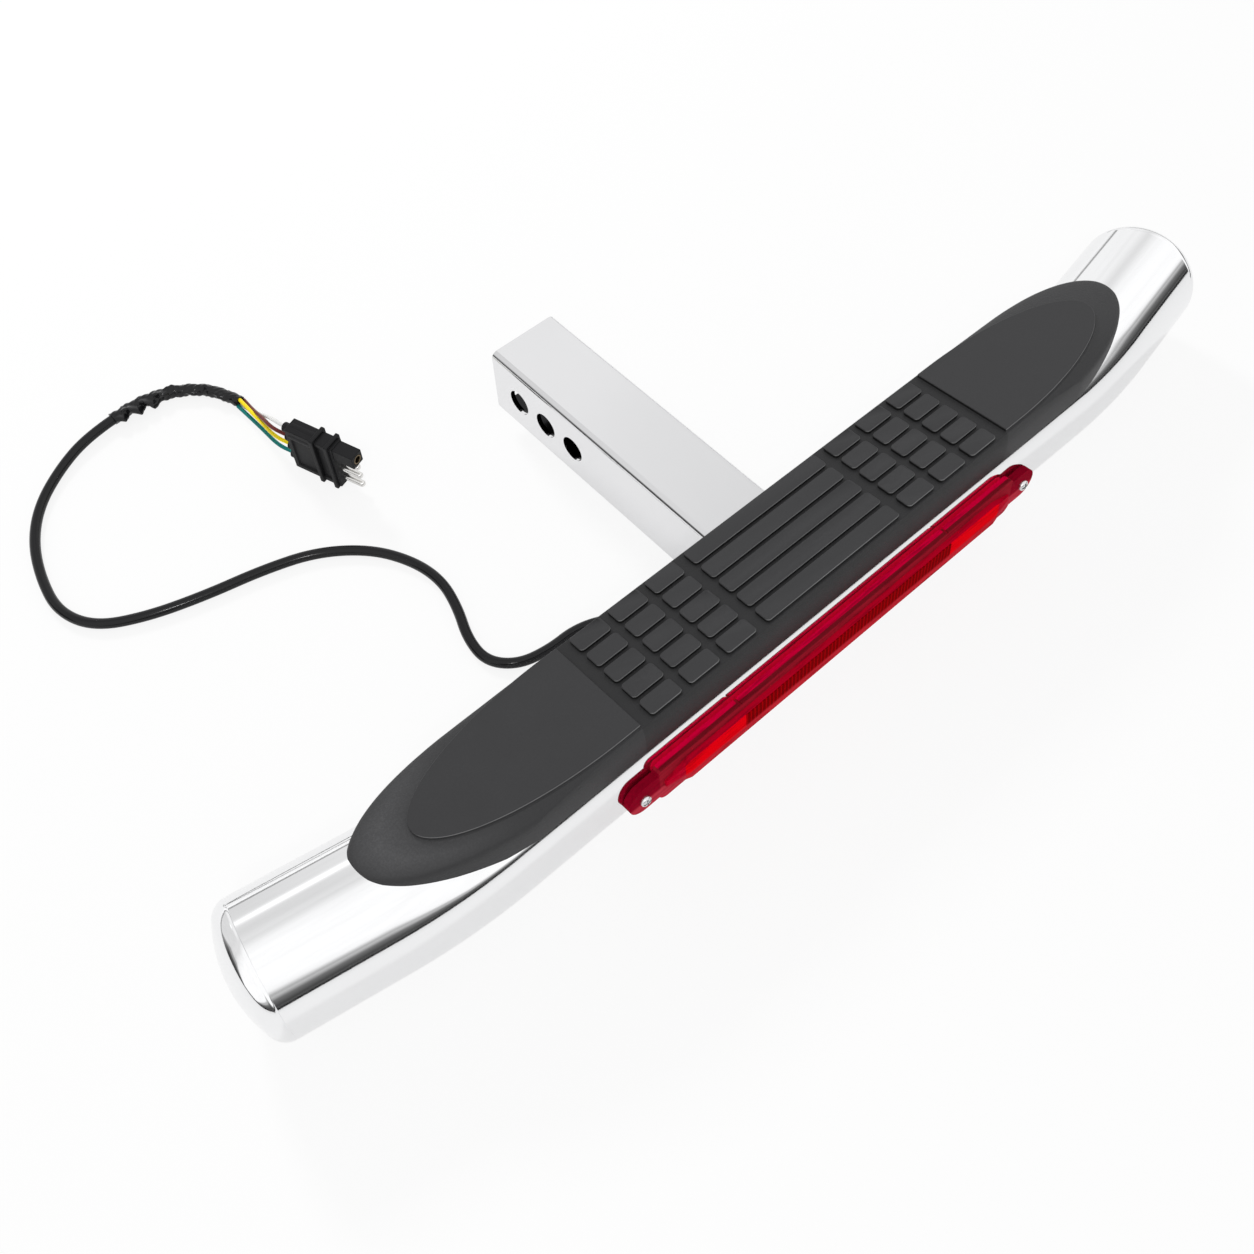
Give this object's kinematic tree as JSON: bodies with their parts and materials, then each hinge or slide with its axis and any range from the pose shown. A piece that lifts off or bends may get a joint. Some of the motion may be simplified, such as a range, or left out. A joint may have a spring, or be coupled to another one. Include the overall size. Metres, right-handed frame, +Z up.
{
  "type": "hitch receiver step",
  "caption": "Bent round step bar on a square receiver shank with pin holes, a ribbed tread pad on top, a red light bar behind and a wired flat trailer plug.",
  "frame": {"origin": "middle of the second hitch-pin hole, on the centre line of the shank", "axes": "+X along the step bar, +Y along the shank to the vehicle, +Z up as fitted"},
  "size_m": [0.7234, 0.4594, 0.0875],
  "materials": {
    "polished_steel": "mirror polish",
    "satin_steel": "satin polish",
    "pad_rubber": "fine moulded grain",
    "cable_rubber": "smooth",
    "red_lens": "translucent gloss",
    "lamp_backing": "matt",
    "circuit_board": "matt",
    "led_dome": "gloss",
    "lamp_reflector": "gloss",
    "screw_steel": "bright",
    "cable_jacket": "soft gloss",
    "wrap_tape": "wrinkled gloss",
    "plug_rubber": "moulded",
    "plated_pin": "plated",
    "brass_socket": "plain",
    "white_wire": "soft gloss",
    "brown_wire": "soft gloss",
    "yellow_wire": "soft gloss",
    "green_wire": "soft gloss"
  },
  "bodies": {
    "root": {"step_tube": "polished_steel", "end_cap_left": "polished_steel", "end_cap_right": "polished_steel", "receiver_shank": "satin_steel", "shank_weld": "satin_steel", "tread_pad": "pad_rubber", "cable_grommet": "cable_rubber", "lamp_lens": "red_lens", "lamp_base": "lamp_backing", "lamp_board": "circuit_board", "lamp_leds": "led_dome", "lamp_reflector": "lamp_reflector", "lamp_screws": "screw_steel", "lamp_lead": "cable_jacket", "cable": "cable_jacket", "tape_wrap": "wrap_tape", "plug_body": "plug_rubber", "plug_pins": "plated_pin", "plug_socket": "brass_socket", "wire_white": "white_wire", "wire_brown": "brown_wire", "wire_yellow": "yellow_wire", "wire_green": "green_wire"}
  },
  "joints": []
}
